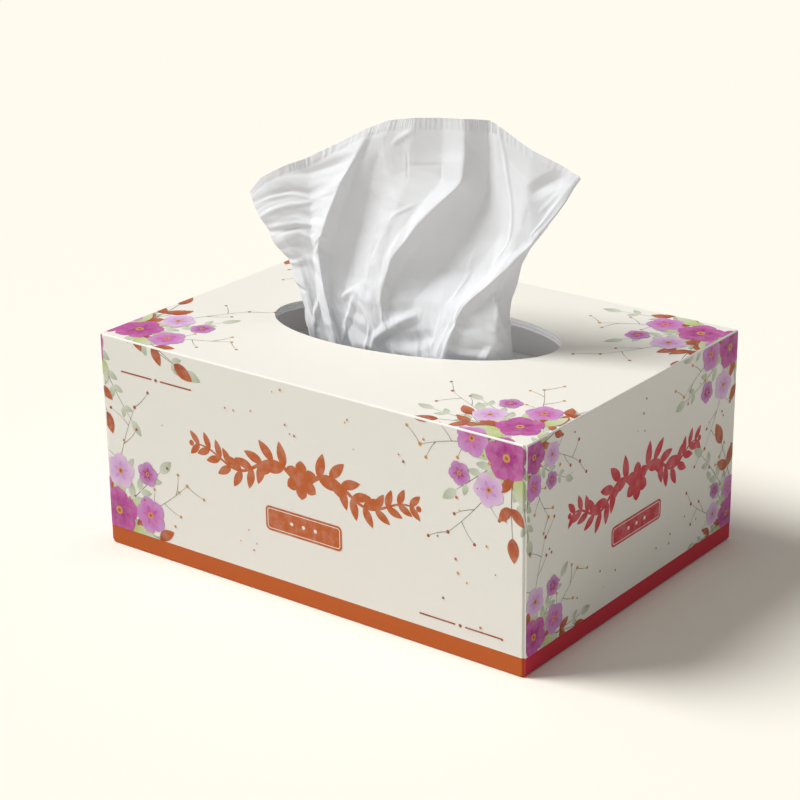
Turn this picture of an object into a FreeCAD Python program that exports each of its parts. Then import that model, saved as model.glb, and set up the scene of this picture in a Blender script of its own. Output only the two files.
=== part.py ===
"""Box of facial tissues: a glued carton with an oval mouth, the stack in it and one tissue pulled up.

Millimetres. +Z is up, X runs along the long front panel, the front faces -Y.
The origin is the middle of the carton's bottom, on the table.
"""
import FreeCAD, Part
import os
import math
import Sketcher

os.makedirs("parts", exist_ok=True)
doc = FreeCAD.newDocument("tissue_box")
sizes = doc.addObject("Spreadsheet::Sheet", "Sizes")

VALUES = [
    ("carton_length", 230.0, "along the front panel"),
    ("carton_width", 168.0, "front to back"),
    ("carton_height", 102.0, "bottom to top panel"),
    ("board", 0.5, "thickness of the folded board"),
    ("fold_radius", 0.7, "outside radius of a fold"),
    ("flap_lip", 1.2, "outer end flap stops short of the bottom edge"),
    ("dust_flap", 62.0, "length of the inner end flaps of the long panels"),
    ("lap_width", 16.0, "glued lap behind the back panel"),
    ("seam_gap", 0.6, "back panel stops short under the top fold"),
    ("mouth_length", 138.0, "oval mouth, long axis"),
    ("mouth_width", 70.0, "oval mouth, short axis"),
    ("mouth_angle", 10.9, "degrees the oval is turned from the long edge"),
    ("mouth_right", -4.0, "centre of the oval along X"),
    ("mouth_back", 3.0, "centre of the oval along Y"),
    ("ply", 0.55, "one layer of the ring under the mouth"),
    ("ply_pairs", 3, "pairs of layers in the ring"),
    ("ply_setback", 0.35, "every second layer stands back"),
    ("ring_width", 8.0, "width of the ring under the mouth"),
    ("end_room", 10.5, "from the stack to each closed end"),
    ("side_room", 5.0, "from the stack to the lap, and as much in front"),
    ("stack_height", 69.5, "stack of tissues left in the carton"),
    ("stack_round", 1.6, "radius of the folded edges of the stack"),
    ("layer_cut", 0.5, "height of a parting at the folded sides"),
    ("layer_depth", 1.6, "depth of a parting at the folded sides"),
    ("layer_count", 14, "partings in each folded side"),
    ("tissue_thickness", 0.6, "soft thickness of the pulled tissue"),
    ("gather_rise", 6.0, "over the top panel, where the gather begins to spread"),
    ("hem_rise", 100.0, "highest point of the hem over the top panel"),
    ("hem_span", 164.0, "hem from corner to corner, standing"),
    ("fold_depth", 13.0, "swing of the folds front to back"),
    ("facets_across", 68, "facets of the pulled tissue along its hem"),
    ("facets_along", 12, "facets of the pulled tissue up from the stack"),
]
for row, (name, value, note) in enumerate(VALUES, start=1):
    sizes.set("A%d" % row, name)
    sizes.set("B%d" % row, repr(value))
    sizes.set("C%d" % row, note)
    sizes.setAlias("B%d" % row, name)
doc.recompute()


def value_of(expression):
    """Number that an expression on the sheet's values gives now."""
    found = sizes.evalExpression(expression)
    return float(getattr(found, "Value", found))


def bound(expression):
    """The same expression as another object states it."""
    words = []
    for word in expression.split():
        words.append("Sizes." + word if word[0].isalpha() else word)
    return " ".join(words)


def set_bound(thing, path, expression):
    """Bind one property of an object to the sheet."""
    thing.setExpression(path, bound(expression))


# Sketches

def new_sketch(body, name, role, lift=None):
    """Sketch on one of the body's own planes, lifted along that plane's normal."""
    sketch = body.newObject("Sketcher::SketchObject", name)
    plane = next(f for f in body.Origin.OriginFeatures if f.Role == role)
    sketch.AttachmentSupport = [(plane, "")]
    sketch.MapMode = "FlatFace"
    if lift:
        set_bound(sketch, ".AttachmentOffset.Base.z", lift)
    return sketch


def pin(sketch, geo, end, axis, expression):
    """Hold one end of a line at a bound distance from the sketch's origin."""
    value = value_of(expression)
    if abs(value) < 1e-9:
        other = -2 if axis == "DistanceX" else -1
        sketch.addConstraint(Sketcher.Constraint("PointOnObject", geo, end, other))
        return
    if value > 0:
        number = sketch.addConstraint(Sketcher.Constraint(axis, -1, 1, geo, end, value))
        set_bound(sketch, "Constraints[%d]" % number, expression)
    else:
        number = sketch.addConstraint(Sketcher.Constraint(axis, geo, end, -1, 1, -value))
        set_bound(sketch, "Constraints[%d]" % number, "-1 * ( %s )" % expression)


def outline(sketch, corners):
    """Closed outline of level and upright lines; corners are (x, y) or (x, y, radius)."""
    count = len(corners)
    spots = [FreeCAD.Vector(value_of(c[0]), value_of(c[1]), 0) for c in corners]
    radii = [value_of(c[2]) if len(c) > 2 else 0.0 for c in corners]
    ways = [(spots[(i + 1) % count] - spots[i]).normalize() for i in range(count)]
    first = sketch.GeometryCount
    for i in range(count):
        j = (i + 1) % count
        start = spots[i] + ways[i] * radii[i]
        end = spots[j] - ways[i] * radii[j]
        sketch.addGeometry(Part.LineSegment(start, end), False)
    for i in range(count):
        level = abs(ways[i].x) > 0.5
        kind, axis, part = ("Horizontal", "DistanceY", 1) if level else ("Vertical", "DistanceX", 0)
        sketch.addConstraint(Sketcher.Constraint(kind, first + i))
        pin(sketch, first + i, 1, axis, corners[i][part])
    for i in range(count):
        before = first + (i - 1) % count
        if radii[i] == 0.0:
            sketch.addConstraint(Sketcher.Constraint("Coincident", before, 2, first + i, 1))
            continue
        round_corner(sketch, before, first + i, spots[i], ways[(i - 1) % count], ways[i], radii[i])
        number = sketch.addConstraint(Sketcher.Constraint("Radius", sketch.GeometryCount - 1, radii[i]))
        set_bound(sketch, "Constraints[%d]" % number, corners[i][2])


def round_corner(sketch, before, after, spot, way_in, way_out, radius):
    """Arc between two lines, tangent to both."""
    centre = spot - way_in * radius + way_out * radius
    left_turn = way_in.x * way_out.y - way_in.y * way_out.x > 0
    start, end = (way_out * -1, way_in) if left_turn else (way_in, way_out * -1)
    angles = [math.atan2(v.y, v.x) for v in (start, end)]
    circle = Part.Circle(centre, FreeCAD.Vector(0, 0, 1), radius)
    arc = sketch.addGeometry(Part.ArcOfCircle(circle, angles[0], angles[1]), False)
    joins = (1, 2) if left_turn else (2, 1)
    sketch.addConstraint(Sketcher.Constraint("Tangent", before, 2, arc, joins[0]))
    sketch.addConstraint(Sketcher.Constraint("Tangent", after, 1, arc, joins[1]))


def oval(sketch, long_axis, short_axis):
    """Ellipse round the sketch's origin, long axis level, both axes bound."""
    half_long, half_short = value_of(long_axis) / 2, value_of(short_axis) / 2
    at = FreeCAD.Vector
    curve = Part.Ellipse(at(half_long, 0, 0), at(0, half_short, 0), at(0, 0, 0))
    geo = sketch.addGeometry(curve, False)
    sketch.exposeInternalGeometry(geo)
    sketch.addConstraint(Sketcher.Constraint("Coincident", geo, 3, -1, 1))
    sketch.addConstraint(Sketcher.Constraint("Horizontal", geo + 1))
    for line, expression in ((geo + 1, long_axis), (geo + 2, short_axis)):
        number = sketch.addConstraint(Sketcher.Constraint("Distance", line, value_of(expression)))
        set_bound(sketch, "Constraints[%d]" % number, expression)


def turn_to_mouth(sketch):
    """Lay a sketch over the mouth: its middle and its turn."""
    set_bound(sketch, ".AttachmentOffset.Base.x", "mouth_right")
    set_bound(sketch, ".AttachmentOffset.Base.y", "mouth_back")
    set_bound(sketch, ".AttachmentOffset.Rotation.Angle", "mouth_angle")


# Features

def pad(body, name, sketch, length, symmetric=False, backwards=False):
    """Pad of a sketch by a bound length."""
    made = body.newObject("PartDesign::Pad", name)
    made.Profile = sketch
    set_bound(made, "Length", length)
    if symmetric:
        made.SideType = "Symmetric"
    made.Reversed = backwards
    return settle(body, made)


def pocket(body, name, sketch, length, symmetric=False, backwards=False):
    """Pocket of a sketch by a bound length."""
    made = body.newObject("PartDesign::Pocket", name)
    made.Profile = sketch
    set_bound(made, "Length", length)
    if symmetric:
        made.SideType = "Symmetric"
    made.Reversed = backwards
    return settle(body, made)


def settle(body, made):
    """Make a feature the tip and compute it."""
    body.Tip = made
    doc.recompute()
    return made


# Carton, one folded and glued sheet

END_OUTER = "carton_length / 2"
END_INNER = "carton_length / 2 - board"
END_DUST = "carton_length / 2 - 2 * board"
HALF_WIDTH = "carton_width / 2"


def staple(sketch, half, low, high, thick, down):
    """Panel with a flap folded over at each end, seen from its edge."""
    rim = ("fold_radius",)
    inside = ("fold_radius - board",)
    inner_half = "%s - %s" % (half, thick)
    panel, under = (high, "%s - %s" % (high, thick)) if down else (low, "%s + %s" % (low, thick))
    tip = low if down else high
    outline(sketch, [
        ("-1 * ( %s )" % half, tip), ("-1 * ( %s )" % half, panel) + rim, (half, panel) + rim,
        (half, tip), (inner_half, tip), (inner_half, under) + inside,
        ("-1 * ( %s )" % inner_half, under) + inside, ("-1 * ( %s )" % inner_half, tip),
    ])


def folded_tube(body):
    """Top, front, bottom and back panels folded round in a ring."""
    sketch = new_sketch(body, "TubeSection", "YZ_Plane")
    rim = ("fold_radius",)
    inside = ("fold_radius - board",)
    left, right = "-1 * carton_width / 2", HALF_WIDTH
    outline(sketch, [(left, "0") + rim, (right, "0") + rim,
                     (right, "carton_height") + rim, (left, "carton_height") + rim])
    near, far = "board - carton_width / 2", "carton_width / 2 - board"
    outline(sketch, [(near, "board") + inside, (far, "board") + inside,
                     (far, "carton_height - board") + inside, (near, "carton_height - board") + inside])
    pad(body, "Tube", sketch, "carton_length - 4 * board - 2 * fold_radius", symmetric=True)


def end_flaps(body):
    """Closures of both ends: dust flaps inside, bottom flap over them, top flap outside."""
    flap_span = "carton_width - 2 * fold_radius"
    top = new_sketch(body, "TopAndOuterFlaps", "XZ_Plane")
    staple(top, END_OUTER, "flap_lip", "carton_height", "board", down=True)
    pad(body, "OuterFlaps", top, flap_span, symmetric=True)
    bottom = new_sketch(body, "BottomAndInnerFlaps", "XZ_Plane")
    staple(bottom, END_INNER, "0", "carton_height - board", "board", down=False)
    pad(body, "InnerFlaps", bottom, flap_span, symmetric=True)
    for name, side in (("Front", -1), ("Back", 1)):
        sketch = new_sketch(body, name + "DustFlaps", "XY_Plane", lift="fold_radius")
        edge = "%d * carton_width / 2" % side
        tip = "%d * ( carton_width / 2 - dust_flap )" % side
        if side < 0:
            staple(sketch, END_DUST, edge, tip, "board", down=False)
        else:
            staple(sketch, END_DUST, tip, edge, "board", down=True)
        pad(body, name + "Flaps", sketch, "carton_height - 2 * fold_radius")


def glued_seam(body):
    """Lap of the top panel glued inside the back panel, whose cut edge stops under the fold."""
    lap = new_sketch(body, "LapSection", "YZ_Plane")
    far, near = "carton_width / 2 - board", "carton_width / 2 - 2 * board"
    low, high = "carton_height - board - lap_width", "carton_height - board"
    outline(lap, [(near, low), (far, low), (far, high), (near, high)])
    pad(body, "Lap", lap, "carton_length - 8 * board", symmetric=True)
    gap = new_sketch(body, "SeamSection", "YZ_Plane")
    low, high = "carton_height - fold_radius - seam_gap", "carton_height - fold_radius"
    outline(gap, [(far, low), (HALF_WIDTH, low), (HALF_WIDTH, high), (far, high)])
    pocket(body, "Seam", gap, "carton_length - 8 * board - 2 * fold_radius", symmetric=True)


def cut_mouth(body):
    """Oval mouth cut in the top panel."""
    sketch = new_sketch(body, "MouthOutline", "XY_Plane", lift="carton_height")
    turn_to_mouth(sketch)
    oval(sketch, "mouth_length", "mouth_width")
    pocket(body, "Mouth", sketch, "2 * board")


def make_carton():
    body = doc.addObject("PartDesign::Body", "carton")
    folded_tube(body)
    end_flaps(body)
    glued_seam(body)
    cut_mouth(body)
    return body


# Ring of layered board under the mouth

def make_ring():
    body = doc.addObject("PartDesign::Body", "mouth_ring")
    sketch = new_sketch(body, "RingOutline", "XY_Plane", lift="carton_height - board")
    turn_to_mouth(sketch)
    oval(sketch, "mouth_length + 2 * ring_width", "mouth_width + 2 * ring_width")
    oval(sketch, "mouth_length", "mouth_width")
    pad(body, "Ring", sketch, "2 * ply * ply_pairs", backwards=True)
    step = new_sketch(body, "LayerOutline", "XY_Plane", lift="carton_height - board - ply")
    turn_to_mouth(step)
    oval(step, "mouth_length + 2 * ply_setback", "mouth_width + 2 * ply_setback")
    cut = pocket(body, "LayerStep", step, "ply")
    rows = body.newObject("PartDesign::LinearPattern", "LayerSteps")
    rows.Originals = [cut]
    rows.Direction = (new_axis(body, "Z_Axis"), [""])
    rows.Reversed = True
    set_bound(rows, "Length", "2 * ply * ( ply_pairs - 1 )")
    set_bound(rows, "Occurrences", "ply_pairs")
    settle(body, rows)
    return body


def new_axis(body, role):
    """One of the body's own axes."""
    return next(f for f in body.Origin.OriginFeatures if f.Role == role)


# Stack of folded tissues, one solid

STACK_LENGTH = "( carton_length - 6 * board - 2 * end_room )"
STACK_WIDTH = "( carton_width - 4 * board - 2 * side_room )"
LAYER_PITCH = "stack_height / ( layer_count + 1 )"


def make_stack():
    body = doc.addObject("PartDesign::Body", "tissue_stack")
    sketch = new_sketch(body, "StackSection", "YZ_Plane")
    edge = ("stack_round",)
    left, right = "-1 * %s / 2" % STACK_WIDTH, "%s / 2" % STACK_WIDTH
    outline(sketch, [(left, "board") + edge, (right, "board") + edge,
                     (right, "board + stack_height") + edge, (left, "board + stack_height") + edge])
    pad(body, "Stack", sketch, STACK_LENGTH, symmetric=True)
    cuts = []
    for name, side in (("Front", -1), ("Back", 1)):
        gap = new_sketch(body, name + "PartingSection", "YZ_Plane")
        edge_at = "%d * %s / 2" % (side, STACK_WIDTH)
        depth_at = "%d * ( %s / 2 - layer_depth )" % (side, STACK_WIDTH)
        low = "board + %s" % LAYER_PITCH
        high = low + " + layer_cut"
        near, far = (edge_at, depth_at) if side < 0 else (depth_at, edge_at)
        outline(gap, [(near, low), (far, low), (far, high), (near, high)])
        cuts.append(pocket(body, name + "Parting", gap, STACK_LENGTH, symmetric=True))
    rows = body.newObject("PartDesign::LinearPattern", "Partings")
    rows.Originals = cuts
    rows.Direction = (new_axis(body, "Z_Axis"), [""])
    set_bound(rows, "Length", "( layer_count - 1 ) * " + LAYER_PITCH)
    set_bound(rows, "Occurrences", "layer_count")
    settle(body, rows)
    return body


# Pulled tissue, gathered where it leaves the stack and spread at its hem

# Each row is one fold line of the sheet, left to right: where it stands along the mouth
# low down, halfway and at the hem, its hem height, and how far back it swings at the three.
FOLD_LINES = [
    (-0.345, -0.43, -0.52, 0.53, 0.3, 0.0, 0.1),
    (-0.325, -0.39, -0.46, 0.66, -0.4, -0.2, 0.0),
    (-0.27, -0.31, -0.33, 0.73, -0.8, -0.55, -0.2),
    (-0.235, -0.235, -0.20, 0.84, -1.3, -1.3, -0.5),
    (-0.20, -0.165, -0.10, 0.92, 0.5, 0.6, 0.2),
    (-0.15, -0.09, -0.04, 0.955, -0.2, 0.0, 0.3),
    (-0.11, -0.03, 0.03, 0.955, -1.0, -0.7, 0.3),
    (-0.07, 0.02, 0.10, 0.965, -1.6, -1.5, 0.0),
    (-0.045, 0.07, 0.15, 0.975, -0.3, -0.4, 0.0),
    (-0.005, 0.12, 0.20, 0.975, 0.5, 0.7, 0.4),
    (0.04, 0.18, 0.235, 0.985, -0.2, 0.3, 0.3),
    (0.075, 0.245, 0.275, 0.98, -1.0, -0.7, -0.2),
    (0.11, 0.31, 0.36, 0.90, -1.6, -1.2, -0.4),
    (0.15, 0.31, 0.46, 0.81, -1.7, -1.3, -0.5),
    (0.13, 0.315, 0.48, 0.785, -0.6, -0.8, -0.3),
    (0.15, 0.305, 0.47, 0.78, 0.2, -0.2, 0.0),
    (0.22, 0.295, 0.465, 0.78, -0.4, 0.1, 0.15),
    (0.27, 0.29, 0.465, 0.77, 0.5, 0.3, 0.3),
]


def fold_poles():
    """Rows of poles, one row for each fold line from the top of the stack to the hem."""
    span, depth = value_of("hem_span"), value_of("fold_depth")
    floor = value_of("board + stack_height")
    top = value_of("carton_height")
    gather = value_of("carton_height + gather_rise")
    rise = value_of("hem_rise")
    rows = []
    for low, half, hem, height, back_low, back_half, back_hem in FOLD_LINES:
        hem_at = top + rise * height
        middle = 0.5 * (top + hem_at)
        rows.append([
            FreeCAD.Vector(0.93 * low * span, 0.7 * back_low * depth, floor),
            FreeCAD.Vector(0.95 * low * span, 0.85 * back_low * depth, 0.5 * (floor + top)),
            FreeCAD.Vector(low * span, back_low * depth, gather),
            FreeCAD.Vector(half * span, back_half * depth, middle),
            FreeCAD.Vector((0.4 * half + 0.6 * hem) * span, 0.5 * (back_half + back_hem) * depth,
                           0.4 * middle + 0.6 * hem_at),
            FreeCAD.Vector(hem * span, back_hem * depth, hem_at),
        ])
    return rows


def surface(rows, degree):
    """Surface over rows of poles, with even knots."""
    knots, times = [], []
    for count in (len(rows), len(rows[0])):
        inner = count - degree - 1
        knots.append([float(i) for i in range(inner + 2)])
        times.append([degree + 1] + [1] * inner + [degree + 1])
    made = Part.BSplineSurface()
    made.buildFromPolesMultsKnots(rows, times[0], times[1], knots[0], knots[1],
                                  False, False, degree, degree)
    return made


def facet_grid(smooth, shift):
    """Points over the smooth surface, shifted along its normals; the lowest row stays level."""
    across, along = int(value_of("facets_across")), int(value_of("facets_along"))
    u_low, u_high, v_low, v_high = smooth.bounds()
    grid = []
    for i in range(across + 1):
        u = u_low + (u_high - u_low) * i / across
        line = []
        for j in range(along + 1):
            v = v_low + (v_high - v_low) * j / along
            normal = smooth.normal(u, v)
            if j == 0:
                normal = FreeCAD.Vector(normal.x, normal.y, 0).normalize()
            line.append(smooth.value(u, v) + normal * shift)
        grid.append(line)
    return grid


def strip(first, second):
    """Flat facets between two lines of points, two to each cell."""
    faces = []
    for i in range(len(first) - 1):
        for corners in ((first[i], second[i], second[i + 1]), (first[i], second[i + 1], first[i + 1])):
            faces.append(Part.Face(Part.makePolygon(list(corners) + [corners[0]])))
    return faces


def make_pulled_tissue():
    """Thin solid between two faceted skins, closed round its four borders."""
    smooth = surface(fold_poles(), 3)
    half = value_of("tissue_thickness") / 2
    near, far = facet_grid(smooth, -half), facet_grid(smooth, half)
    faces = []
    for grid in (near, far):
        for line, following in zip(grid, grid[1:]):
            faces += strip(line, following)
    for border in (lambda g: g[0], lambda g: g[-1],
                   lambda g: [line[0] for line in g], lambda g: [line[-1] for line in g]):
        faces += strip(border(near), border(far))
    shell = Part.Shell(faces)
    shell.sewShape()
    solid = Part.Solid(shell)
    if solid.Volume < 0:
        solid.reverse()
    return solid


carton = make_carton()
ring = make_ring()
stack = make_stack()
tissue = doc.addObject("Part::Feature", "pulled_tissue")
tissue.Shape = make_pulled_tissue()
turned = FreeCAD.Rotation(FreeCAD.Vector(0, 0, 1), value_of("mouth_angle"))
tissue.Placement = FreeCAD.Placement(
    FreeCAD.Vector(value_of("mouth_right"), value_of("mouth_back"), 0), turned)

NODES = [carton, ring, stack, tissue]
doc.recompute()
for node in NODES:
    node.Label = node.Name
for thing in doc.Objects:
    if "Invalid" in thing.State or "Error" in thing.State:
        raise RuntimeError("%s is not computed: %s" % (thing.Name, thing.State))
for node in NODES:
    shape = node.Shape
    if shape.isNull() or not shape.isValid() or len(shape.Solids) != 1:
        raise RuntimeError("%s has no single valid solid" % node.Name)
for node in NODES:
    node.Shape.exportStep("parts/%s.step" % node.Label)
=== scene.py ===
"""Looks of the tissue box: printed carton, stack of tissues and one gathered tissue, on a pale floor."""
import math
import random

import bpy
import numpy as np
from mathutils import Matrix, Vector


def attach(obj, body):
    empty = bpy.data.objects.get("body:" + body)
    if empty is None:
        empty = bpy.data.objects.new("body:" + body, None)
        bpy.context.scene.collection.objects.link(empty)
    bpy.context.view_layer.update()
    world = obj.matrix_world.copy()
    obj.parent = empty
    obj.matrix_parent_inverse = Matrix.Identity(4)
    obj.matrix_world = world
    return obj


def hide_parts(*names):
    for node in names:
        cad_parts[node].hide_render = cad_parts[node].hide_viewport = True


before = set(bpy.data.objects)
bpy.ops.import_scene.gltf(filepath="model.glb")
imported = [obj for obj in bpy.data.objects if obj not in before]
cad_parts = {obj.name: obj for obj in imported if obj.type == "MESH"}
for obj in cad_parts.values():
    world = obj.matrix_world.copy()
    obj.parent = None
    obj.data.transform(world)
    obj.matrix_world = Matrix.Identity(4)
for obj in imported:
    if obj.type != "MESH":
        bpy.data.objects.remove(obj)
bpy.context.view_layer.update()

MM = 0.001  # the sizes below are in millimetres
LENGTH, WIDTH, HEIGHT = 230.0, 168.0, 102.0
BOARD, FOLD = 0.5, 0.7
SET_IN = 2 * BOARD + FOLD  # the long panels fold this far in from the end faces, under two flaps
BAND = 8.8  # height of the colour bands at the foot
MOUTH_ANGLE = math.radians(10.9)
MOUTH_RIGHT, MOUTH_BACK = -4.0, 3.0  # middle of the mouth, from the middle of the top panel
STACK_TOP = 70.0


# Camera, fitted to the corners of the carton in the photograph

AZIMUTH, ELEVATION, ROLL = 37.289, 21.096, -0.708
EYE = (576.15, -770.67, 440.5)
FOCAL_PIXELS = 2288.7
IMAGE = 800


def camera_axes():
    """Right, up and back of the camera."""
    a, e, r = (math.radians(x) for x in (AZIMUTH, ELEVATION, ROLL))
    back = Vector((math.sin(a) * math.cos(e), -math.cos(a) * math.cos(e), math.sin(e)))
    right = Vector((0, 0, 1)).cross(back).normalized()
    up = back.cross(right)
    return right * math.cos(r) + up * math.sin(r), up * math.cos(r) - right * math.sin(r), back


def add_camera():
    """Camera that shows the box as the photograph does."""
    data = bpy.data.cameras.new("camera")
    data.sensor_width = 36.0
    data.lens = FOCAL_PIXELS / IMAGE * data.sensor_width
    data.clip_start, data.clip_end = 0.05, 60.0
    camera = bpy.data.objects.new("camera", data)
    turn = Matrix(camera_axes()).transposed().to_4x4()
    camera.matrix_world = Matrix.Translation(Vector(EYE) * MM) @ turn
    bpy.context.scene.collection.objects.link(camera)
    bpy.context.scene.camera = camera


# Shaders

def linear(red, green, blue):
    """Linear colour of an 8 bit screen colour."""
    def one(c):
        c = c / 255.0
        return c / 12.92 if c <= 0.04045 else ((c + 0.055) / 1.055) ** 2.4
    return (one(red), one(green), one(blue), 1.0)


class Wire:
    """A shader socket that takes plain arithmetic."""

    def __init__(self, shader, socket):
        self.shader, self.socket = shader, socket

    def math(self, kind, *others):
        return self.shader.node("ShaderNodeMath", {"operation": kind}, dict(enumerate((self,) + others)))

    def __add__(self, other):
        return self.math("ADD", other)

    __radd__ = __add__

    def __sub__(self, other):
        return self.math("SUBTRACT", other)

    def __rsub__(self, other):
        return (self * -1.0) + other

    def __mul__(self, other):
        return self.math("MULTIPLY", other)

    __rmul__ = __mul__

    def __gt__(self, other):
        return self.math("GREATER_THAN", other)

    def __lt__(self, other):
        return self.math("LESS_THAN", other)

    def size(self):
        return self.math("ABSOLUTE")

    def ramp(self, low, high):
        """Smooth step from 0 at low to 1 at high."""
        return self.shader.node("ShaderNodeMapRange", {"interpolation_type": "SMOOTHSTEP"},
                                {0: self, 1: low, 2: high})


class Shader:
    """A node material with a Principled surface."""

    def __init__(self, name):
        self.material = bpy.data.materials.new(name)
        self.material.use_nodes = True
        self.tree = self.material.node_tree
        self.tree.nodes.clear()
        self.out = self.tree.nodes.new("ShaderNodeOutputMaterial")
        self.surface = self.tree.nodes.new("ShaderNodeBsdfPrincipled")
        self.tree.links.new(self.surface.outputs[0], self.out.inputs["Surface"])

    def node(self, kind, settings=None, inputs=None, output=0):
        made = self.tree.nodes.new(kind)
        for name, value in (settings or {}).items():
            setattr(made, name, value)
        for key, value in (inputs or {}).items():
            if isinstance(value, Wire):
                self.tree.links.new(value.socket, made.inputs[key])
            else:
                made.inputs[key].default_value = value
        return Wire(self, made.outputs[output])

    def set(self, **values):
        for name, value in values.items():
            socket = self.surface.inputs[name.replace("_", " ")]
            if isinstance(value, Wire):
                self.tree.links.new(value.socket, socket)
            else:
                socket.default_value = value

    def mix(self, factor, first, second):
        """Colour between two colours."""
        return self.node("ShaderNodeMix", {"data_type": "RGBA"},
                         {0: factor, 6: first, 7: second}, output=2)

    def place(self):
        """Position on the object, in metres, and its three parts."""
        spot = self.node("ShaderNodeTexCoord", output="Object")
        parts = [self.node("ShaderNodeSeparateXYZ", None, {0: spot}, output=i) for i in range(3)]
        return spot, parts

    def stretched(self, spot, scale):
        return self.node("ShaderNodeVectorMath", {"operation": "MULTIPLY"}, {0: spot, 1: scale})

    def noise(self, spot, scale, detail=3.0, rough=0.5):
        return self.node("ShaderNodeTexNoise", None,
                         {"Vector": spot, "Scale": scale, "Detail": detail, "Roughness": rough})

    def bump(self, height, distance, strength=1.0, normal=None):
        inputs = {"Height": height, "Distance": distance, "Strength": strength}
        if normal:
            inputs["Normal"] = normal
        return self.node("ShaderNodeBump", None, inputs)


CREAM, CREAM_CLOUD = (0.872, 0.843, 0.768, 1.0), (0.85, 0.815, 0.735, 1.0)
FIBRE = (0.78, 0.73, 0.62, 1.0)
RAW_BOARD, RAW_FIBRE = linear(252, 251, 249), linear(246, 245, 243)
# The worn edge colour is partly wear and partly a painted highlight along the folds
CUT_EDGE, WORN_AND_HIGHLIT_EDGE = linear(240, 236, 228), linear(250, 248, 243)
ORANGE, ORANGE_CLOUD = linear(194, 96, 40), linear(176, 80, 32)
CRIMSON, CRIMSON_CLOUD = linear(203, 50, 66), linear(188, 44, 60)
NO_GLOW, PAINTED_GLOW = (0.0, 0.0, 0.0, 1.0), (0.036, 0.035, 0.034, 1.0)  # painted glow of the raw inside, standing in for light through the board


def board_material():
    """Coated cream board: colour bands at the foot, worn folds with a painted highlight along them, raw
    inside with a painted glow for the light that comes through.
    """
    skin = 0.45  # the coated side reaches this deep
    under_flaps, past_fold = 0.95, 0.75  # the raw side starts this far in at the ends and beside them
    rim_depth, rim_reach = 0.55, 85.0  # the mouth's cut rim: how far under the top and from the middle
    pale_line_out, pale_line_in = 1.0, 0.3  # the worn line, partly a painted highlight, fades between these distances from an edge
    s = Shader("printed_board")
    spot, (x, y, z) = s.place()
    cloud = s.noise(spot, 22.0, 2.0)
    fibre = s.noise(s.stretched(spot, (1.0, 1.0, 2.5)), 900.0, 4.0, 0.6)
    face = s.mix(cloud * 0.35, CREAM, CREAM_CLOUD)
    face = s.mix(fibre.ramp(0.55, 0.75) * 0.12, face, FIBRE)
    end = x.size() > (LENGTH / 2 - FOLD) * MM
    band = s.mix(s.noise(spot, 60.0, 4.0) * 0.2, s.mix(end, ORANGE, CRIMSON),
                 s.mix(end, ORANGE_CLOUD, CRIMSON_CLOUD))
    outside = s.mix(z < BAND * MM, face, band)
    middle = (x.size() < (LENGTH / 2 - SET_IN) * MM) * (y.size() < (WIDTH / 2 - skin) * MM)
    ends = (x.size() < (LENGTH / 2 - under_flaps) * MM) * (y.size() < (WIDTH / 2 - past_fold) * MM)
    within = middle.math("MAXIMUM", ends) * (z < (HEIGHT - skin) * MM) * (z > skin * MM)
    shade = s.mix(within, outside, s.mix(fibre, RAW_BOARD, RAW_FIBRE))
    facing = s.node("ShaderNodeNewGeometry", output="Normal")
    upward = s.node("ShaderNodeSeparateXYZ", None, {0: facing}, output="Z")
    rim = (upward.size() < 0.5) * (z > (HEIGHT - rim_depth) * MM) * (x.size() < rim_reach * MM)
    shade = s.mix(rim, shade, CUT_EDGE)
    # Lighter line along every edge: partly wear, partly a painted highlight of the folds
    across = ((LENGTH / 2) * MM - x.size()).math("MAXIMUM", 0.0)
    along = ((WIDTH / 2) * MM - y.size()).math("MAXIMUM", 0.0)
    over = (HEIGHT * MM - z).math("MAXIMUM", 0.0)
    edge = over.math("MAXIMUM", across.math("MINIMUM", along))
    rubbed_and_highlit = s.noise(spot, 260.0, 3.0).ramp(0.4, 0.62) * 0.35 + 0.4
    shade = s.mix(edge.ramp(pale_line_out * MM, pale_line_in * MM) * rubbed_and_highlit, shade, WORN_AND_HIGHLIT_EDGE)
    # Emission on the raw inside is a painted glow that stands in for light coming through the board
    s.set(Base_Color=shade, Roughness=fibre * 0.12 + 0.5, Normal=s.bump(fibre, 0.05 * MM, 0.5),
          Emission_Color=s.mix(within, NO_GLOW, PAINTED_GLOW), Emission_Strength=1.0, Specular_IOR_Level=0.2)
    return s.material


def ring_material():
    """Layered board seen at the wall of the mouth."""
    s = Shader("layered_board")
    spot, _ = s.place()
    lines = s.noise(s.stretched(spot, (12.0, 12.0, 2600.0)), 1.0, 2.0)
    shade = s.mix(lines.ramp(0.42, 0.6), linear(254, 254, 254), linear(236, 236, 238))
    s.set(Base_Color=shade, Roughness=0.7, Normal=s.bump(lines, 0.1 * MM, 0.6))
    return s.material


def tissue_material(name, tint, seen_through):
    """Soft white tissue with a fine crepe; a share of the light is seen through it."""
    s = Shader(name)
    spot, _ = s.place()
    crepe = s.noise(s.stretched(spot, (1.0, 1.0, 3.0)), 1500.0, 3.0, 0.6)
    soft = s.noise(spot, 190.0, 3.0, 0.55)
    shade = s.mix(soft * 0.3, tint, (tint[0] * 0.95, tint[1] * 0.95, tint[2] * 0.955, 1.0))
    rough = s.bump(crepe, 0.06 * MM, 0.5)
    s.set(Base_Color=shade, Roughness=crepe * 0.1 + 0.85, Normal=s.bump(soft, 0.5 * MM, 0.35, rough),
          Sheen_Weight=0.15, Specular_IOR_Level=0.2)
    if seen_through:
        veil = s.node("ShaderNodeBsdfTranslucent", None, {"Color": (0.9, 0.91, 0.93, 1.0)})
        paper = Wire(s, s.surface.outputs[0])
        both = s.node("ShaderNodeMixShader", None, {0: seen_through, 1: paper, 2: veil})
        s.tree.links.new(both.socket, s.out.inputs["Surface"])
    return s.material


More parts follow.
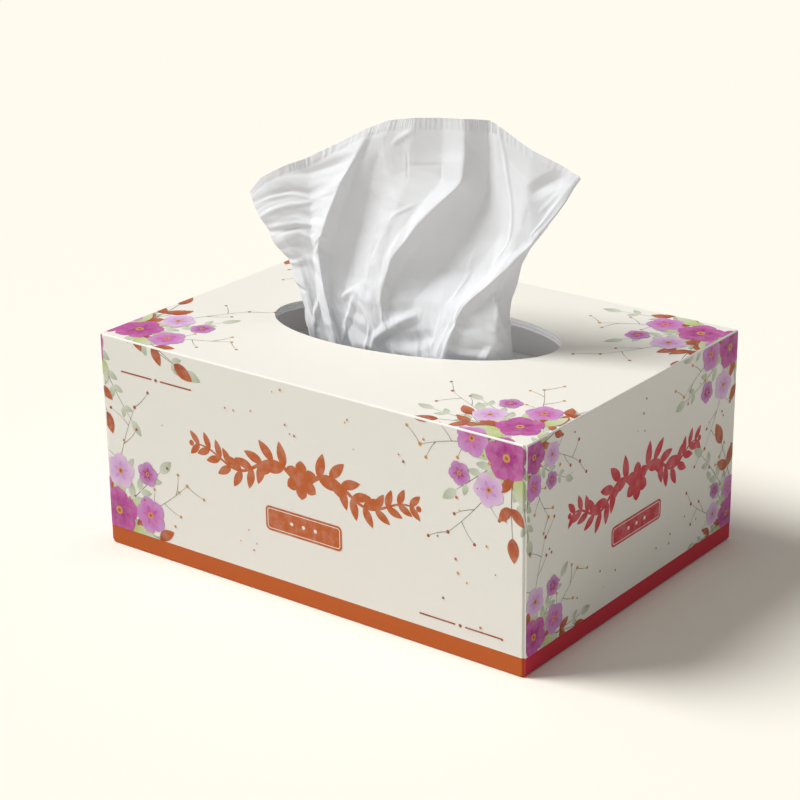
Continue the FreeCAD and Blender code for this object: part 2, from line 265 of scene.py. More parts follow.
def ink_material():
    """Printing ink in the colours that each shape carries, mottled like a wash."""
    s = Shader("printing_ink")
    spot, _ = s.place()
    wash = s.noise(spot, 240.0, 3.0, 0.6)
    grain = s.noise(spot, 1400.0, 2.0)
    colour = s.node("ShaderNodeVertexColor", {"layer_name": "ink"})
    shade = s.mix(wash.ramp(0.35, 0.7) * 0.12, colour, CREAM)
    shade = s.mix(grain * 0.08, shade, (0.3, 0.16, 0.12, 1.0))
    s.set(Base_Color=shade, Roughness=grain * 0.1 + 0.5, Normal=s.bump(grain, 0.04 * MM, 0.4),
          Specular_IOR_Level=0.2)
    return s.material


def floor_material():
    """Pale where it is seen, directly or through and in other things; plainer where it lights them."""
    s = Shader("floor")
    spot, _ = s.place()
    pale = s.mix(s.noise(spot, 3.0) * 0.02, (0.955, 0.918, 0.826, 1.0), (0.94, 0.906, 0.817, 1.0))
    camera, glossy, through = (s.node("ShaderNodeLightPath", output="Is %s Ray" % kind)
                               for kind in ("Camera", "Glossy", "Transmission"))
    seen = (camera + glossy + through).math("MINIMUM", 1.0)
    s.set(Base_Color=s.mix(seen, (0.70, 0.69, 0.655, 1.0), pale), Roughness=0.9, Specular_IOR_Level=0.0)
    return s.material


# Meshes

def add_mesh(name, points, faces, material, smooth=True):
    """Object with one mesh in one material."""
    mesh = bpy.data.meshes.new(name)
    mesh.from_pydata([tuple(p) for p in points], [], faces)
    mesh.materials.append(material)
    if smooth:
        mesh.shade_smooth()
    thing = bpy.data.objects.new(name, mesh)
    bpy.context.scene.collection.objects.link(thing)
    return thing


def grid_faces(rows, columns, start=0, close=False):
    """Quads of a grid of points laid out row by row."""
    faces = []
    for i in range(rows - 1):
        for j in range(columns - (0 if close else 1)):
            k = (j + 1) % columns
            faces.append((start + i * columns + j, start + (i + 1) * columns + j,
                          start + (i + 1) * columns + k, start + i * columns + k))
    return faces


class Field:
    """Seeded smooth noise over a plane, for numpy arrays, from -1 to 1."""

    ROWS, COLUMNS, SHIFT = 97, 89, 40.0  # size of the table of values, and where in it the plane starts

    def __init__(self, seed):
        self.values = np.random.default_rng(seed).uniform(-1, 1, (self.ROWS, self.COLUMNS))

    def cell(self, x, y):
        """Place within a cell of the plane, and the values at its four corners."""
        i, j = np.floor(x).astype(int), np.floor(y).astype(int)
        v, rows, columns = self.values, self.ROWS, self.COLUMNS
        a, b = v[i % rows, j % columns], v[(i + 1) % rows, j % columns]
        c, d = v[i % rows, (j + 1) % columns], v[(i + 1) % rows, (j + 1) % columns]
        return x - i, y - j, a, b, c, d

    def __call__(self, x, y):
        fx, fy, a, b, c, d = self.cell(np.asarray(x) + self.SHIFT, np.asarray(y) + self.SHIFT)
        fx, fy = fx * fx * (3 - 2 * fx), fy * fy * (3 - 2 * fy)
        return (a + (b - a) * fx) * (1 - fy) + (c + (d - c) * fx) * fy

    def facets(self, x, y):
        """Flat triangles that meet in straight creases, like crumpled paper, from -1 to 1."""
        across = np.asarray(x) + self.SHIFT + 0.35 * self(y * 0.7, x * 0.7)
        along = np.asarray(y) + self.SHIFT + 0.35 * self(x * 0.6, y)
        fx, fy, a, b, c, d = self.cell(across + 0.5 * along, along)
        return np.where(fx + fy < 1, a + (b - a) * fx + (c - a) * fy,
                        d + (c - d) * (1 - fx) + (b - d) * (1 - fy))

    def crease(self, x, y):
        """Sharp ridges between soft hollows, up to 1."""
        return 1.0 - np.abs(self(x, y)) * 1.6


def step(x, low, high):
    """Smooth step from 0 at low to 1 at high."""
    t = np.clip((x - low) / (high - low), 0, 1)
    return t * t * (3 - 2 * t)


# Pulled tissue: fold lines as they are seen from the camera, from the hem down to the mouth

FOLDS = [  # seven spots each: pixels right, pixels down, millimetres before the mouth's middle plane
    ((249, 255, 262, 276, 290, 301, 309), (192, 207, 220, 245, 263, 290, 330), (3.5, 3.5, 3, 2, 1, 0, 0)),
    ((261, 269, 275, 285, 297, 306, 314), (177, 195, 212, 237, 260, 289, 331), (3, 3, 2.5, 2, 1, 1, 1)),
    ((286, 289, 292, 299, 304, 310, 317), (165, 186, 205, 230, 255, 289, 333), (1, 0, 0, -1, -1, 0, 0)),
    ((307, 309, 311, 312, 313, 317, 326), (158, 182, 205, 230, 255, 290, 337), (0, -1, -2, -2, -2, -1, 0)),
    ((368, 357, 341, 327, 317, 323, 336), (128, 153, 180, 215, 247, 287, 341), (0, 2, 4, 4, 3, 3, 2)),
    ((377, 364, 351, 339, 327, 329, 340), (125, 154, 183, 220, 256, 292, 342), (0, 0, 0, 0, 0, 0, 0)),
    ((390, 380, 370, 362, 350, 344, 350), (120, 152, 185, 225, 265, 297, 344), (1, 0, -3, -4, -4, -2, -1)),
    ((414, 410, 406, 392, 372, 362, 366), (118, 152, 182, 217, 255, 295, 349), (2.5, 1.5, 0.5, 1, 2, 2, 2)),
    ((442, 443, 440, 409, 382, 371, 376), (118, 152, 182, 219, 257, 296, 350), (0.3, 0, 1, 2, 3.5, 4, 2.5)),
    ((463, 464, 462, 420, 390, 380, 385), (119, 152, 182, 221, 260, 297, 351), (1.3, 2.3, 4.7, 6, 6, 5, 3)),
    ((470, 472, 473, 434, 403, 388, 393), (119, 152, 186, 227, 266, 300, 353), (0, 0, 0, 2, 2, 2.5, 2.5)),
    ((488, 489, 488, 465, 436, 412, 415), (120, 155, 192, 242, 277, 304, 356), (-4, -5, -6, -4, -3, 1.5, 3)),
    ((496, 498, 499, 500, 474, 442, 430), (124, 157, 192, 235, 270, 305, 357), (-1, -2, -2, -1, 0, 3, 4.5)),
    ((532, 530, 526, 515, 487, 455, 435), (150, 177, 205, 242, 275, 305, 358), (2, 3, 4, 4, 4, 6.5, 7.5)),
    ((565, 555, 542, 525, 495, 459, 438), (167, 191, 219, 245, 275, 305, 358), (3, 4, 5, 5, 8, 9, 9)),
    ((580, 564, 546, 531, 499, 461, 441), (177, 204, 227, 245, 276, 307, 359), (6, 7, 7, 6, 9, 10, 10)),
    ((580, 563, 545, 530, 501, 470, 455), (178, 205, 230, 247, 285, 317, 359), (5, 5, 4, 3, 6, 8, 8)),
    ((579, 562, 544, 529, 504, 497, 497), (179, 205, 230, 248, 285, 322, 359), (3, 2, 1, 0, 3.5, 7, 3.5)),
    ((577, 562, 544, 529, 517, 509, 512), (180, 205, 230, 248, 280, 317, 358), (1, 0, -2, -4, -5, -6, -6)),
]
SHEET_WIDTH, SHEET_LENGTH = 185.0, 124.0
LEAN = (18, 11, 7, 5, 1.5, -1.5, -3.5)  # millimetres that all of it stands forward, from the mouth up
ACROSS, UP = 600, 160  # points along the hem and from the stack to the hem
LEAST_GAP = 0.6  # added to each gap between lines, so that close ones get points too
SOFT_UP, SOFT_ACROSS = 8, 14  # how often the folds are rounded, each way


def seen_on_plane(right_px, down_px, before):
    """Point of the mouth's own frame that shows at a pixel, a distance before its middle plane."""
    right, up, back = camera_axes()
    ray = right * ((right_px - IMAGE / 2) / FOCAL_PIXELS)
    ray = ray + up * ((IMAGE / 2 - down_px) / FOCAL_PIXELS) - back
    turn = Matrix.Rotation(-MOUTH_ANGLE, 3, "Z")
    eye = turn @ (Vector(EYE) - Vector((MOUTH_RIGHT, MOUTH_BACK, 0)))
    ray = turn @ ray
    return eye + ray * ((-before - eye.y) / ray.y)


def fold_points():
    """Fold lines in millimetres, from the stack up to the hem."""
    lines = []
    for fold in FOLDS:
        spots = list(zip(*fold))[::-1]
        seen = [seen_on_plane(px, py, before + lean) for (px, py, before), lean in zip(spots, LEAN)]
        foot = seen[0]
        halfway = 0.5 * (STACK_TOP + foot.z)
        low = [(0.93 * foot.x, 0.7 * foot.y, STACK_TOP), (0.96 * foot.x, 0.85 * foot.y, halfway)]
        lines.append(low + [tuple(p) for p in seen])
    return np.array(lines)


def spread(lines, axis, count):
    """Straight steps between the lines, evenly spaced along them."""
    gaps = np.linalg.norm(np.diff(lines, axis=axis), axis=2).mean(axis=1 - axis) + LEAST_GAP
    at = np.concatenate([[0], np.cumsum(gaps)])
    want = np.linspace(0, at[-1], count)
    known = np.moveaxis(lines, axis, 0)
    out = np.empty((count,) + known.shape[1:])
    for index in np.ndindex(known.shape[1:]):
        out[(slice(None),) + index] = np.interp(want, at, known[(slice(None),) + index])
    return np.moveaxis(out, 0, axis)


def soften(points, axis, passes):
    """Round the folds; the outer edges stay where they are."""
    p = np.moveaxis(points.copy(), axis, 0)
    for _ in range(passes):
        p[1:-1] = 0.5 * p[1:-1] + 0.25 * (p[:-2] + p[2:])
    return np.moveaxis(p, 0, axis)


def normals_of(points):
    """Unit normals of a grid of points."""
    du, dv = np.gradient(points, axis=0), np.gradient(points, axis=1)
    normal = np.cross(du, dv)
    return normal / np.maximum(np.linalg.norm(normal, axis=2, keepdims=True), 1e-9)


CREASES = [  # from and to (share of the width, share of the height), rise and half width in millimetres
    (0.786, 0.850, 0.825, 0.962, -1.6, 3.0), (0.669, 0.623, 0.691, 0.547, 0.5, 1.6),
    (0.691, 0.547, 0.730, 0.434, 0.6, 1.6), (0.007, 0.824, 0.077, 0.800, 0.9, 2.4),
    (0.077, 0.800, 0.122, 0.811, 0.7, 2.0), (0.003, 0.755, 0.063, 0.711, 0.8, 2.2),
    (0.063, 0.711, 0.122, 0.698, 0.8, 2.0), (0.013, 0.704, 0.122, 0.679, -0.7, 2.0),
    (0.002, 0.535, 0.112, 0.509, 1.1, 3.0), (0.710, 0.994, 0.768, 0.610, 0.6, 1.2),
    (0.290, 0.396, 0.357, 0.421, 2.0, 3.0), (0.357, 0.421, 0.449, 0.371, 1.7, 3.0),
    (0.638, 0.365, 0.549, 0.314, 2.3, 3.5), (0.549, 0.314, 0.429, 0.239, 2.3, 3.5),
    (0.508, 0.358, 0.634, 0.384, -1.2, 3.5), (0.563, 0.270, 0.691, 0.289, -1.4, 4.0),
    (0.129, 0.365, 0.045, 0.258, 1.4, 3.0), (0.242, 0.352, 0.265, 0.300, 1.2, 2.6),
    (0.364, 0.396, 0.254, 0.226, 1.6, 3.2), (0.439, 0.302, 0.396, 0.226, 1.4, 3.0),
    (0.811, 0.333, 0.902, 0.358, -1.0, 2.6), (0.865, 0.535, 0.940, 0.453, 1.0, 2.4),
    (0.940, 0.453, 0.990, 0.289, 1.0, 2.4), (0.938, 0.283, 0.930, 0.226, 1.4, 2.5),
    (0.232, 0.591, 0.179, 0.560, 0.8, 1.8), (0.249, 0.528, 0.159, 0.522, 0.7, 1.8),
    (0.394, 0.679, 0.441, 0.717, 0.5, 1.6), (0.489, 0.453, 0.548, 0.421, 1.0, 2.5),
    (0.394, 0.855, 0.457, 0.855, -0.3, 0.9), (0.457, 0.855, 0.459, 0.805, -0.3, 0.9),
    (0.387, 0.899, 0.399, 0.805, -0.3, 0.9), (0.339, 0.931, 0.394, 0.962, 0.7, 2.0),
    (0.836, 0.925, 0.813, 0.811, 0.4, 1.2), (0.845, 0.975, 0.826, 0.717, 0.5, 1.2),
]


def sharp_creases(x, y):
    """Single creases with a sharp crest that run out at both ends."""
    rise = np.zeros_like(x)
    for u0, v0, u1, v1, height, half in CREASES:
        a = np.array([u0 * SHEET_WIDTH, v0 * SHEET_LENGTH])
        way = np.array([u1 * SHEET_WIDTH, v1 * SHEET_LENGTH]) - a
        along = np.clip(((x - a[0]) * way[0] + (y - a[1]) * way[1]) / (way @ way), 0, 1)
        off = np.hypot(x - a[0] - along * way[0], y - a[1] - along * way[1])
        ends = 0.35 + 0.65 * np.sin(math.pi * along) ** 0.6
        rise = rise + height * ends * np.clip(1 - off / half, 0, 1)
    return rise


PLEAT = 2.0  # length of one pleat of the crimped hem
HEM, HEM_LINE = (0.963, 0.972), 0.965  # shares of the height where the crimp and the pressed line lie


def crease_swing(u, v):
    """How far the fine folds stand out of the smooth sheet, in millimetres."""
    x, y = u * SHEET_WIDTH, v * SHEET_LENGTH
    # Crumples of the gather, low on the sheet
    low = 1 - step(v, 0.28, 0.5)
    gather = Field(3).facets(x / 7.0 + y / 40.0, y / 24.0) * 0.8 * low
    pinch = Field(5).facets(x / 9.0 + y / 20.0, y / 7.5 - x / 30.0) * 0.7 * low * step(v, 0.05, 0.15)
    pinch = pinch + Field(6).facets(x / 4.0 - y / 15.0, y / 3.6 + x / 30.0) * 0.3 * low
    # Level folds of the left corner
    side = Field(8).facets(x / 16.0 + y / 40.0, y / 6.0 + x / 20.0) * 1.0
    side = side * (1 - step(u, 0.16, 0.22)) * step(v, 0.3, 0.4) * (1 - step(v, 0.9, 0.97))
    # Slight creases all over
    soft = Field(11).facets(x / 12.0 + y / 35.0, y / 15.0) * 0.8
    patches = step(Field(14)(x / 30.0, y / 25.0), -0.5, 0.6)
    small = Field(12).facets(x / 5.5 - y / 30.0, y / 7.0) * 0.4 * patches
    # Crimped hem and the line pressed along it
    wave = x * 2 * math.pi / PLEAT + 7.0 * Field(17)(x / 7.0, v)
    wave = wave + 3.0 * Field(18)(x / 2.6, v)
    deeper = 0.4 + 1.1 * np.exp(-((u - 0.11) / 0.06) ** 2) + 1.1 * np.exp(-((u - 0.63) / 0.08) ** 2)
    crimp = np.sin(wave) * 0.15 * step(v, *HEM) * deeper
    press = -0.16 * np.exp(-((v - HEM_LINE) / 0.004) ** 2)
    return gather + pinch + side + soft + small + crimp + press + sharp_creases(x, y)


def pulled_tissue():
    """The one gathered sheet that stands up through the mouth."""
    u, v = np.linspace(0, 1, ACROSS), np.linspace(0, 1, UP)
    points = spread(spread(fold_points(), 1, UP), 0, ACROSS)
    points = soften(soften(points, 1, SOFT_UP), 0, SOFT_ACROSS)
    gu, gv = np.meshgrid(u, v, indexing="ij")
    swing = crease_swing(gu, gv) * step(gv, 0.0, 0.12)
    points = points + normals_of(points) * swing[..., None]
    points[:, 0, 2] = STACK_TOP
    turned = np.empty_like(points)
    c, s = math.cos(MOUTH_ANGLE), math.sin(MOUTH_ANGLE)
    turned[..., 0] = MOUTH_RIGHT + c * points[..., 0] - s * points[..., 1]
    turned[..., 1] = MOUTH_BACK + s * points[..., 0] + c * points[..., 1]
    turned[..., 2] = points[..., 2]
    tissue = add_mesh("tissue_sheet", turned.reshape(-1, 3) * MM, grid_faces(ACROSS, UP),
                      tissue_material("tissue_paper", (0.862, 0.875, 0.902, 1.0), 0.22))
    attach(tissue, "root")
    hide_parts("pulled_tissue")


# Stack of folded tissues

def tissue_stack():
    """Block of folded sheets: rippled layer edges at its sides, a soft creased top."""
    half_x, half_y, floor = 103.0, 78.0, 0.5
    inset, margin = 0.3, 0.4  # the layers' edges and the top lie this far inside the block
    layers, across, span = 150, 180, 121
    ring = []
    for side in range(4):
        for k in range(across):
            t = -1 + 2 * k / across
            ring.append(((t, -1), (1, t), (-t, 1), (-1, -t))[side])
    ring = np.array(ring)
    rows = []
    field = Field(23)
    for i, z in enumerate(np.linspace(floor, STACK_TOP - margin, layers)):
        tuck = np.abs(0.5 * (i % 2) + 0.35 * field(ring[:, 0] * 9 + i * 3.1, ring[:, 1] * 9 + i * 1.7))
        rows.append(np.column_stack([ring[:, 0] * (half_x - inset - tuck),
                                     ring[:, 1] * (half_y - inset - tuck), np.full(len(ring), z)]))
    sides = np.vstack(rows)
    xs = np.linspace(-half_x + margin, half_x - margin, span)
    ys = np.linspace(-half_y + margin, half_y - margin, span)
    gx, gy = np.meshgrid(xs, ys, indexing="ij")
    # The top is flatter under the mouth, where the pulled tissue stands on it
    near = np.exp(-((gx - MOUTH_RIGHT) / 70.0) ** 2 - ((gy - MOUTH_BACK) / 26.0) ** 2)
    crease = Field(29).crease(gx / 16.0, gy / 11.0) * 0.45 + Field(31)(gx / 40.0, gy / 30.0) * 0.5
    edge = np.minimum(half_x - np.abs(gx), half_y - np.abs(gy))
    height = STACK_TOP - 0.75 + np.clip(crease, -0.7, 0.7) * step(edge, 1.0, 14.0) * (1 - near)
    top = np.column_stack([gx.ravel(), gy.ravel(), height.ravel()])
    corners = [(-half_x, -half_y), (half_x, -half_y), (half_x, half_y), (-half_x, half_y)]
    points = np.vstack([sides, top, [(x * 0.995, y * 0.995, floor) for x, y in corners]])
    faces = grid_faces(layers, len(ring), close=True)
    faces += [tuple(reversed(face)) for face in grid_faces(span, span, len(sides))]
    foot = len(sides) + len(top)
    faces.append((foot, foot + 3, foot + 2, foot + 1))
    stack = add_mesh("folded_tissues", points * MM, faces,
                     tissue_material("stacked_paper", (0.97, 0.972, 0.978, 1.0), 0.0), smooth=False)
    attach(stack, "root")
    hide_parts("tissue_stack")


# Print, as thin shapes of ink laid on the panels

EDGE = FOLD + 0.05  # the flat of a panel starts this far from its fold
SEAM = 0.4  # the net runs this far over the cut edges of the end flaps
LIFT, RISE = 0.012, 0.0015  # millimetres off the panel, and more for each later shape


def flat(s0, s1, t0, t1, place, out):
    """Flat panel of a net, off its rounded edges and off the band at its foot."""
    return (s0, s1, t0 + EDGE if t0 else BAND, t1 - EDGE), place, out


def upright(at, way, right, back, count=5):
    """Strips over the cut edges of the end flaps and round the fold of the long panel beside them."""
    def cut(s, t):
        share = ((s - at) * way + EDGE) / (EDGE + SEAM)
        return right * (LENGTH / 2 - 2 * BOARD * share), back * (WIDTH / 2 - FOLD), t

    def bent(s, t):
        turn = math.pi / 2 * ((s - at) * way - SEAM) / (SET_IN - SEAM)
        return (right * (LENGTH / 2 - SET_IN + FOLD * math.cos(turn)),
                back * (WIDTH / 2 - FOLD + FOLD * math.sin(turn)), t)

    spans = [(-EDGE, SEAM, cut, (0, back, 0))]
    for k in range(count):
        low, high = (SEAM + (SET_IN - SEAM) * j / count for j in (k, k + 1))
        turn = math.pi / 2 * (k + 0.5) / count
        spans.append((low, high, bent, (right * math.cos(turn), back * math.sin(turn), 0)))
    return [(tuple(sorted((at + way * low, at + way * high))) + (BAND, HEIGHT - EDGE), place, out)
            for low, high, place, out in spans]


NETS = {
    "front": [
        flat(SET_IN - LENGTH / 2, LENGTH / 2 - SET_IN, 0, HEIGHT,
             lambda s, t: (s, -WIDTH / 2, t), (0, -1, 0)),
        flat(EDGE - LENGTH / 2, LENGTH / 2 - EDGE, HEIGHT, HEIGHT + WIDTH,
             lambda s, t: (s, t - HEIGHT - WIDTH / 2, HEIGHT), (0, 0, 1)),
        flat(LENGTH / 2 + EDGE, LENGTH / 2 + WIDTH - EDGE, 0, HEIGHT,
             lambda s, t: (LENGTH / 2, s - LENGTH / 2 - WIDTH / 2, t), (1, 0, 0)),
        flat(EDGE - LENGTH / 2 - WIDTH, -LENGTH / 2 - EDGE, 0, HEIGHT,
             lambda s, t: (-LENGTH / 2, -s - LENGTH / 2 - WIDTH / 2, t), (-1, 0, 0)),
    ] + upright(LENGTH / 2, -1, 1, -1) + upright(-LENGTH / 2, 1, -1, -1),
    "right": [
        flat(EDGE - WIDTH / 2, WIDTH / 2 - EDGE, 0, HEIGHT, lambda s, t: (LENGTH / 2, s, t), (1, 0, 0)),
        flat(EDGE - WIDTH / 2, WIDTH / 2 - EDGE, HEIGHT, HEIGHT + LENGTH,
             lambda s, t: (LENGTH / 2 + HEIGHT - t, s, HEIGHT), (0, 0, 1)),
        flat(WIDTH / 2 + SET_IN, WIDTH / 2 + LENGTH - SET_IN, 0, HEIGHT,
             lambda s, t: (LENGTH / 2 + WIDTH / 2 - s, WIDTH / 2, t), (0, 1, 0)),
    ] + upright(WIDTH / 2, 1, 1, 1),
}


def half_turn(net):
    """The same net on the opposite panels."""
    return [(area, (lambda s, t, place=place: (-place(s, t)[0], -place(s, t)[1], place(s, t)[2])),
             (-out[0], -out[1], out[2])) for area, place, out in net]


NETS["back"] = half_turn(NETS["front"])
NETS["left"] = half_turn(NETS["right"])


def clip(corners, axis, limit, keep_above):
    """Cut a coloured polygon of the net along a line."""
    kept = []
    for a, b in zip(corners, corners[1:] + corners[:1]):
        ia = a[axis] >= limit if keep_above else a[axis] <= limit
        ib = b[axis] >= limit if keep_above else b[axis] <= limit
        if ia:
            kept.append(a)
        if ia != ib:
            k = (limit - a[axis]) / (b[axis] - a[axis])
            kept.append(tuple(p + (q - p) * k for p, q in zip(a, b)))
    return kept


class Print:
    """Collects flat coloured shapes and lays them on the panels of one net."""

    def __init__(self, net):
        self.net, self.points, self.faces, self.inks, self.layer = NETS[net], [], [], [], 0

    def shape(self, corners):
        """Corners are (s, t, red, green, blue)."""
        for (s0, s1, t0, t1), place, out in self.net:
            part = list(corners)
            for axis, limit, keep_above in ((0, s0, True), (0, s1, False), (1, t0, True), (1, t1, False)):
                part = clip(part, axis, limit, keep_above) if part else part
            if len(part) < 3:
                continue
            lift = LIFT + RISE * self.layer
            first = len(self.points)
            for s, t, *ink in part:
                p = place(s, t)
                self.points.append(tuple(p[i] + out[i] * lift for i in range(3)))
                self.inks.append(ink)
            face = list(range(first, first + len(part)))
            a, b, c = (Vector(self.points[i]) for i in face[:3])
            if (b - a).cross(c - a).dot(Vector(out)) < 0:
                face.reverse()
            self.faces.append(face)

    def blade(self, s, t, turn, length, width, base, tip, blunt=1.0, bend=0.0, steps=9):
        """Leaf or petal from its foot, with colours running from base to tip."""
        rows = []
        for i in range(steps + 1):
            k = i / steps
            half = 0.5 * width * math.sin(math.pi * min(k ** blunt, 1.0)) ** 0.8 if 0 < k < 1 else 0.0
            along, side = length * k, bend * length * k * k
            ink = [a + (b - a) * k for a, b in zip(base, tip)]
            rows.append([(s + math.cos(turn) * along - math.sin(turn) * (side + w),
                          t + math.sin(turn) * along + math.cos(turn) * (side + w), *ink)
                         for w in (-half, half)])
        for (a, b), (c, d) in zip(rows, rows[1:]):
            self.shape([a, c, d, b])
        self.layer += 1

    def dot(self, s, t, radius, ink, sides=12):
        ring = [2 * math.pi * k / sides for k in range(sides)]
        self.shape([(s + radius * math.cos(a), t + radius * math.sin(a), *ink) for a in ring])
        self.layer += 1

    def line(self, spots, width, ink):
        """Stroke that tapers towards its end."""
        rows = []
        for i, (s, t) in enumerate(spots):
            a, b = spots[max(i - 1, 0)], spots[min(i + 1, len(spots) - 1)]
            way = math.atan2(b[1] - a[1], b[0] - a[0])
            half = 0.5 * width * (1 - 0.7 * i / len(spots))
            rows.append([(s - math.sin(way) * w, t + math.cos(way) * w, *ink) for w in (-half, half)])
        for (a, b), (c, d) in zip(rows, rows[1:]):
            self.shape([a, c, d, b])
        self.layer += 1

    def finish(self, name, material):
        """Make one piece of all the shapes so far."""
        thing = add_mesh(name, np.array(self.points) * MM, self.faces, material, smooth=False)
        colours = thing.data.color_attributes.new("ink", "FLOAT_COLOR", "POINT")
        rgba = np.ones((len(self.inks), 4), dtype=np.float32)
        rgba[:, :3] = self.inks
        colours.data.foreach_set("color", rgba.ravel())
        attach(thing, "root")


def ink(*colour):
    """Linear ink of an 8 bit screen colour."""
    return linear(*colour)[:3]


MAGENTA, PINK, LILAC, PALE = ink(168, 52, 132), ink(200, 92, 168), ink(206, 150, 208), ink(230, 200, 228)
OCHRE, RUST, CLAY = ink(214, 150, 60), ink(166, 72, 32), ink(196, 104, 58)
SAGE, MIST, LIME, STEM = ink(176, 188, 158), ink(214, 218, 200), ink(182, 198, 92), ink(124, 118, 92)
IVORY = ink(243, 236, 222)


def arc(s, t, turn, length, bend, count=12):
    """Spots along a bent stem."""
    spots = []
    for i in range(count + 1):
        k = i / count
        along, side = length * k, bend * length * k * k
        spots.append((s + math.cos(turn) * along - math.sin(turn) * side,
                      t + math.sin(turn) * along + math.cos(turn) * side))
    return spots


def blossom(art, s, t, size, turn, heart, rim):
    """Five round petals round an ochre heart."""
    for k in range(5):
        way = turn + 2 * math.pi * k / 5
        art.blade(s, t, way, size * 0.5, size * 0.46, heart, rim, blunt=1.5, steps=8)
        art.blade(s, t, way, size * 0.28, size * 0.1, heart, heart, blunt=1.2, steps=4)
    art.dot(s, t, size * 0.085, OCHRE)
    art.dot(s, t, size * 0.04, RUST)


def leafy(art, s, t, turn, length, bend, leaf, base, tip, pairs=4):
    """Stem with leaves in pairs and one at its end."""
    spots = arc(s, t, turn, length, bend)
    art.line(spots, 0.55, STEM)
    for k in range(1, pairs + 1):
        i = int(len(spots) * k / (pairs + 1))
        (a, b), (c, d) = spots[i - 1], spots[i]
        way = math.atan2(d - b, c - a)
        for side in (-1, 1):
            size = leaf * (1.0 - 0.09 * k)
            art.blade(c, d, way + side * 0.85, size, size * 0.52, base, tip, blunt=0.85, bend=-0.12 * side)
    (a, b), (c, d) = spots[-2], spots[-1]
    art.blade(c, d, math.atan2(d - b, c - a), leaf, leaf * 0.5, base, tip, blunt=0.85)


def berries(art, s, t, turn, length, bend, colour):
    """Forked sprig that carries small berries."""
    spots = arc(s, t, turn, length, bend)
    art.line(spots, 0.4, STEM)
    for k in range(2, len(spots), 2):
        way = turn + (0.9 if k % 4 else -0.9)
        twig = arc(*spots[k], way, length * 0.2, 0.2, 4)
        art.line(twig, 0.3, STEM)
        art.dot(*twig[-1], 0.75, colour)
    art.dot(*spots[-1], 0.85, colour)


def posy(art, s, t, turn, size, seed):
    """Bunch of blossoms and leaves that grows from a corner towards turn."""
    rng = random.Random(seed)
    art.layer = 0
    for k in range(3):
        leafy(art, s, t, turn + (k - 1) * 1.05 + rng.uniform(-0.15, 0.15), size * rng.uniform(0.8, 1.0),
              rng.uniform(-0.25, 0.25), size * 0.19, MIST, SAGE)
    berries(art, s, t, turn + 0.55, size * 1.15, -0.2, RUST)
    berries(art, s, t, turn - 0.65, size * 1.0, 0.25, OCHRE)
    for way in (-0.95, 0.85):
        leafy(art, s, t, turn + way, size * 0.8, 0.15 * way, size * 0.24, RUST, CLAY, pairs=2)
    for k in range(4):
        way = turn - 1.1 + 0.75 * k
        art.blade(s + size * 0.2 * math.cos(way), t + size * 0.2 * math.sin(way), way,
                  size * 0.3, size * 0.14, LIME, MIST, blunt=0.9)
    for reach, way, width, heart, rim in (
            (0.5, 0.42, 0.34, LILAC, PALE), (0.46, -0.62, 0.36, PINK, LILAC),
            (0.12, 0.1, 0.46, MAGENTA, PINK), (0.68, -0.05, 0.24, MAGENTA, LILAC)):
        blossom(art, s + size * reach * math.cos(turn + way), t + size * reach * math.sin(turn + way),
                size * width, rng.uniform(0, 1.2), heart, rim)


def flourish(art, s, t, reach, colour):
    """Level garland of leaves, the same both ways from a small blossom."""
    start, count = 4.5, 46
    for side in (-1, 1):
        spots = []
        for i in range(count + 1):
            k = i / count
            wave = 5.5 * math.sin(2.6 * math.pi * k) * (1 - 0.5 * k)
            spots.append((s + side * (start + (reach - start) * k), t + wave))
        art.line(spots, 2.2, colour)
        for i in range(4, count, 5):
            (a, b), (c, d) = spots[i - 1], spots[i]
            way = math.atan2(d - b, c - a)
            size = 12.5 * (1 - 0.4 * i / count)
            for turn in (-0.8, 0.8):
                art.blade(c, d, way + turn, size, size * 0.42, colour, colour, blunt=0.85)
        art.dot(spots[-1][0] + side * 2.2, spots[-1][1], 1.4, colour)
    for k in range(6):
        art.blade(s, t, math.pi * (k + 0.5) / 3, 9.0, 6.0, colour, colour, blunt=1.4)


def plate(art, s, t, width, height, radius, colour, steps=6):
    """Filled rectangle with round corners."""
    corners = []
    for cs, ct, start in ((1, 1, 0), (-1, 1, 1), (-1, -1, 2), (1, -1, 3)):
        for k in range(steps + 1):
            a = math.pi / 2 * (start + k / steps)
            corners.append((s + cs * (width / 2 - radius) + radius * math.cos(a),
                            t + ct * (height / 2 - radius) + radius * math.sin(a), *colour))
    art.shape(corners)
    art.layer += 1


def label(art, s, t, width, height, colour):
    """Plain label with a pale border line."""
    plate(art, s, t, width, height, 2.2, colour)
    plate(art, s, t, width - 2.0, height - 2.0, 1.5, IVORY)
    plate(art, s, t, width - 2.7, height - 2.7, 1.2, colour)
    for k in (-1, 0, 1):
        art.dot(s + 6.5 * k, t, 0.9, IVORY)


def rule(art, s, t, width, colour):
    """Short fine rule with a dot in its middle."""
    for side in (-1, 1):
        plate(art, s + side * (width / 4 + 1.2), t, width / 2 - 2.4, 0.7, 0.34, colour)
    art.dot(s, t, 0.8, colour)


def specks(art, seed, area, count, avoid):
    """Tiny scattered dots, kept out of the boxes named."""
    rng = random.Random(seed)
    s0, s1, t0, t1 = area
    for _ in range(count):
        s, t = rng.uniform(s0, s1), rng.uniform(t0, t1)
        if any(a < s < b and c < t < d for a, b, c, d in avoid):
            continue
        art.dot(s, t, rng.uniform(0.25, 0.7), rng.choice((RUST, CLAY, OCHRE)), sides=7)


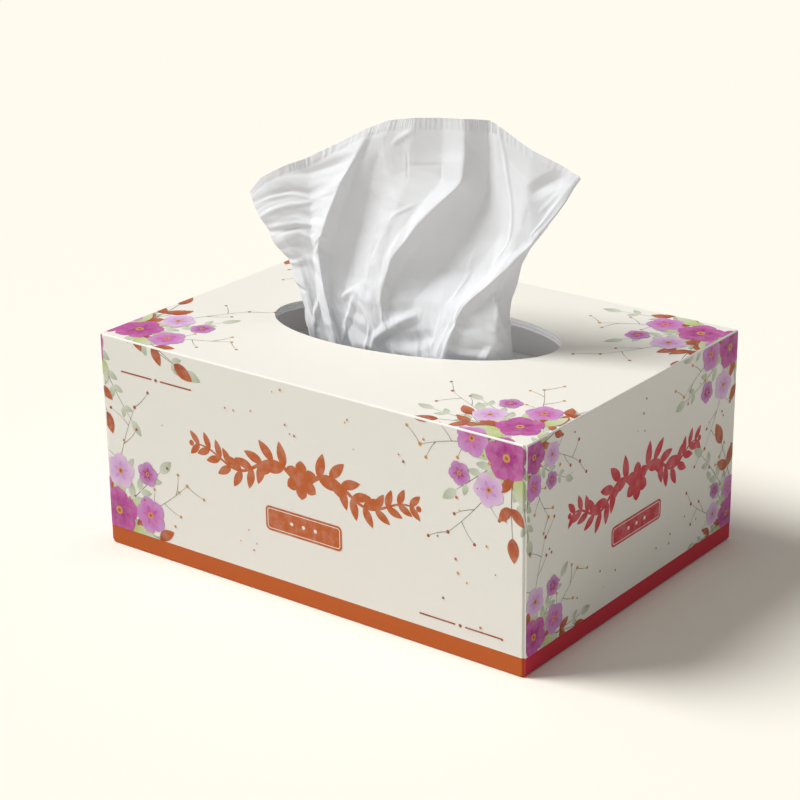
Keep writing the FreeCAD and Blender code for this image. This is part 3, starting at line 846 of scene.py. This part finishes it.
def add_print():
    """Print of the five panels that carry any."""
    material = ink_material()
    for side in ("front", "back"):
        art = Print(side)
        flourish(art, 0, 59.0, 60.0, ORANGE[:3])
        label(art, 0.5, 37.0, 42.0, 11.6, ORANGE[:3])
        rule(art, -82.0, 86.5, 42.0, RUST)
        rule(art, 83.0, 14.6, 42.0, RUST)
        posy(art, -112, 12, 0.95, 52, 4)
        posy(art, 110, 98, 3.7, 46, 9)
        specks(art, 5, (-110, 110, 14, 98), 60, [(-70, 70, 28, 78), (-106, -58, 80, 92)])
        art.finish("print_" + side, material)
    for side in ("right", "left"):
        art = Print(side)
        flourish(art, 0, 58.0, 50.0, CRIMSON[:3])
        label(art, 0.5, 38.5, 40.0, 9.5, CRIMSON[:3])
        posy(art, -80, 12, 1.0, 40, 12)
        posy(art, 80, 100, 3.9, 44, 15)
        posy(art, -82, 98, -0.75, 34, 33)
        posy(art, 82, 12, 2.3, 34, 18)
        specks(art, 7, (-80, 80, 14, 98), 45, [(-56, 56, 28, 76)])
        art.finish("print_" + side, material)
    top = Print("front")
    posy(top, -108, HEIGHT + 10, 0.7, 50, 21)
    posy(top, 106, HEIGHT + 12, 2.4, 46, 24)
    posy(top, 108, HEIGHT + WIDTH - 10, 3.9, 50, 27)
    posy(top, -108, HEIGHT + WIDTH - 12, -0.8, 44, 30)
    top.finish("print_top", material)


# Stage

def add_stage():
    """Pale floor, an even sky and one soft sun from the upper left."""
    reach = 8.0
    corners = [(-reach, -reach, 0), (reach, -reach, 0), (reach, reach, 0), (-reach, reach, 0)]
    floor = add_mesh("floor", corners, [(0, 1, 2, 3)], floor_material(), smooth=False)
    world = bpy.data.worlds.new("studio")
    world.use_nodes = True
    sky = world.node_tree.nodes["Background"]
    sky.inputs["Color"].default_value = (1.0, 0.985, 0.96, 1.0)
    sky.inputs["Strength"].default_value = 0.31
    bpy.context.scene.world = world
    data = bpy.data.lights.new("key", "SUN")
    data.energy = 3.22
    data.angle = math.radians(30)
    key = bpy.data.objects.new("key", data)
    height = math.radians(47)
    # It shines to the right and to the back
    way = Vector((0.885 * math.cos(height), 0.465 * math.cos(height), -math.sin(height)))
    key.rotation_euler = way.to_track_quat("-Z", "Y").to_euler()
    bpy.context.scene.collection.objects.link(key)
    bpy.context.scene.view_settings.view_transform = "Standard"


def dress(node, material):
    """Give a carried-over node its material."""
    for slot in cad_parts[node].material_slots:
        slot.material = material


add_camera()
add_stage()
dress("carton", board_material())
dress("mouth_ring", ring_material())
tissue_stack()
pulled_tissue()
add_print()
